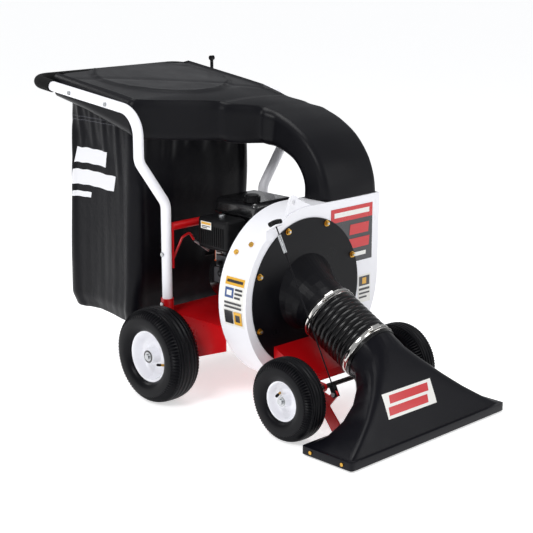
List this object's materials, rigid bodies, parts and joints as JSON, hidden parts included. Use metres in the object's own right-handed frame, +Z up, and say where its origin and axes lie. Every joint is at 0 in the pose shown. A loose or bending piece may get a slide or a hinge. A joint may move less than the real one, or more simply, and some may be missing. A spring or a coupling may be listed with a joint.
{
  "type": "leaf vacuum mulcher",
  "caption": "Walk-behind leaf vacuum: floor nozzle on a flexible hose, engine-driven shredding fan, discharge hood and hanging bag on four wheels.",
  "frame": {"origin": "middle of the machine's bounding box at ground level", "axes": "+X forward to the nozzle, +Y to the machine's left, +Z up"},
  "size_m": [1.568, 0.8186, 1.1006],
  "materials": {
    "tyre_rubber": "moulded rubber",
    "white_enamel": "gloss",
    "white_powder_coat": "powder coat",
    "red_powder_coat": "powder coat",
    "black_powder_coat": "powder coat",
    "zinc_steel": "zinc plated",
    "yellow_zinc": "yellow zinc",
    "stainless": "polished",
    "impeller_steel": "painted",
    "hose_rubber": "gloss",
    "foam_rubber": "foam",
    "nozzle_polyethylene": "rotomoulded",
    "hood_polyethylene": "rotomoulded",
    "bag_fabric": "coated weave",
    "bush_nylon": "moulded",
    "engine_black": "gloss",
    "engine_plastic": "textured",
    "cast_aluminium": "cast",
    "plug_porcelain": "rubber boot",
    "cable_sheath": "vinyl"
  },
  "bodies": {
    "chassis": {"deck": "red_powder_coat", "front_frame": "red_powder_coat", "rear_axle": "zinc_steel", "front_axle": "zinc_steel", "axle_bushes": "bush_nylon", "axle_caps": "zinc_steel", "handle_right": "white_powder_coat", "handle_left": "white_powder_coat", "handle_crossbar": "white_powder_coat", "foam_grip": "foam_rubber", "handle_brace": "red_powder_coat", "stay_rod": "zinc_steel", "handle_bolts": "zinc_steel", "housing_wrapper": "white_powder_coat", "housing_back_plate": "white_powder_coat", "housing_front_plate": "white_powder_coat", "housing_bolts": "yellow_zinc", "intake_plate": "black_powder_coat", "intake_studs": "zinc_steel", "intake_nuts": "yellow_zinc", "hose": "hose_rubber", "clamp_upper": "stainless", "adjuster_bracket": "white_powder_coat", "hood": "hood_polyethylene", "bag": "bag_fabric", "engine_block": "cast_aluminium", "engine_shroud": "engine_black", "fuel_tank": "engine_black", "air_cleaner": "engine_plastic", "muffler": "engine_black", "carburettor": "cast_aluminium", "spark_plug": "plug_porcelain", "throttle_plate": "cast_aluminium", "engine_bolts": "zinc_steel", "control_bracket": "engine_plastic", "control_cable": "cable_sheath"},
    "rear_right_wheel": {"rear_right_tyre": "tyre_rubber", "rear_right_rim": "white_enamel"},
    "rear_left_wheel": {"rear_left_tyre": "tyre_rubber", "rear_left_rim": "white_enamel"},
    "front_right_wheel": {"front_right_tyre": "tyre_rubber", "front_right_rim": "white_enamel"},
    "front_left_wheel": {"front_left_tyre": "tyre_rubber", "front_left_rim": "white_enamel"},
    "rotor": {"impeller": "impeller_steel", "crankshaft": "zinc_steel", "impeller_bolt": "zinc_steel"},
    "nozzle_assembly": {"nozzle": "nozzle_polyethylene", "nozzle_arms": "red_powder_coat", "nozzle_bolts": "yellow_zinc", "clamp_lower": "stainless", "clevis_pin": "zinc_steel"},
    "rod_swivel": {"adjuster_sleeve": "zinc_steel"},
    "lift_rod": {"adjuster_rod": "zinc_steel"},
    "height_knob": {"adjuster_knob": "engine_plastic"},
    "filler_cap": {"fuel_cap": "engine_plastic"},
    "pull_grip": {"recoil_grip": "engine_plastic"},
    "throttle": {"throttle_lever": "engine_plastic"},
    "engine_switch": {"stop_switch": "engine_plastic"},
    "drive_lever": {"control_lever": "engine_plastic"}
  },
  "joints": [
    {"name": "rear_right_wheel_spin", "type": "hinge", "parent": "chassis", "child": "rear_right_wheel", "pos_m": [-0.122, -0.345, 0.165], "axis": [0, 1, 0], "continuous": true},
    {"name": "rear_left_wheel_spin", "type": "hinge", "parent": "chassis", "child": "rear_left_wheel", "pos_m": [-0.122, 0.303, 0.165], "axis": [0, 1, 0], "continuous": true},
    {"name": "front_right_wheel_spin", "type": "hinge", "parent": "chassis", "child": "front_right_wheel", "pos_m": [0.454, -0.291, 0.136], "axis": [0, 1, 0], "continuous": true},
    {"name": "front_left_wheel_spin", "type": "hinge", "parent": "chassis", "child": "front_left_wheel", "pos_m": [0.454, 0.249, 0.136], "axis": [0, 1, 0], "continuous": true},
    {"name": "impeller_spin", "type": "hinge", "parent": "chassis", "child": "rotor", "pos_m": [0.134, 0.025, 0.382], "axis": [1, 0, 0], "continuous": true},
    {"name": "nozzle_lift", "type": "hinge", "parent": "chassis", "child": "nozzle_assembly", "pos_m": [0.454, -0.021, 0.136], "axis": [0, -1, 0], "range_deg": [0, 10], "deforming": ["hose"]},
    {"name": "rod_swing", "type": "hinge", "parent": "chassis", "child": "rod_swivel", "pos_m": [0.25, -0.152, 0.652], "axis": [0, -1, 0], "range_deg": [-0.2, 0.8]},
    {"name": "rod_lift", "type": "slide", "parent": "rod_swivel", "child": "lift_rod", "axis": [-0.5001, 0.0324, 0.8654], "range_m": [-0.0005, 0.01571]},
    {"name": "knob_turn", "type": "hinge", "parent": "chassis", "child": "height_knob", "pos_m": [0.25, -0.152, 0.652], "axis": [-0.5001, 0.0324, 0.8654], "range_deg": [-5, 1064.4]},
    {"name": "filler_cap_turn", "type": "hinge", "parent": "chassis", "child": "filler_cap", "pos_m": [0.028, -0.041, 0.676], "axis": [0, 0, 1], "range_deg": [0, 90]},
    {"name": "recoil_pull", "type": "slide", "parent": "chassis", "child": "pull_grip", "axis": [-1, 0, 0], "range_m": [0, 0.05], "stiffness_N_per_m": 150, "springref_m": -0.02},
    {"name": "throttle_turn", "type": "hinge", "parent": "chassis", "child": "throttle", "pos_m": [-0.038, -0.133, 0.426], "axis": [0, 1, 0], "range_deg": [-25, 25]},
    {"name": "engine_switch_turn", "type": "hinge", "parent": "chassis", "child": "engine_switch", "pos_m": [-0.152, -0.034, 0.525], "axis": [1, 0, 0], "range_deg": [0, 60]},
    {"name": "drive_lever_turn", "type": "hinge", "parent": "chassis", "child": "drive_lever", "pos_m": [-0.602, 0.3505, 1.03359], "axis": [0, 1, 0], "range_deg": [-30, 30]}
  ],
  "couplings": [
    {"joint": "rod_swing", "follows": "nozzle_lift", "ratio": 0.0503},
    {"joint": "rod_lift", "follows": "nozzle_lift", "m_per_rad": 0.084301},
    {"joint": "knob_turn", "follows": "nozzle_lift", "ratio": 105.94}
  ]
}
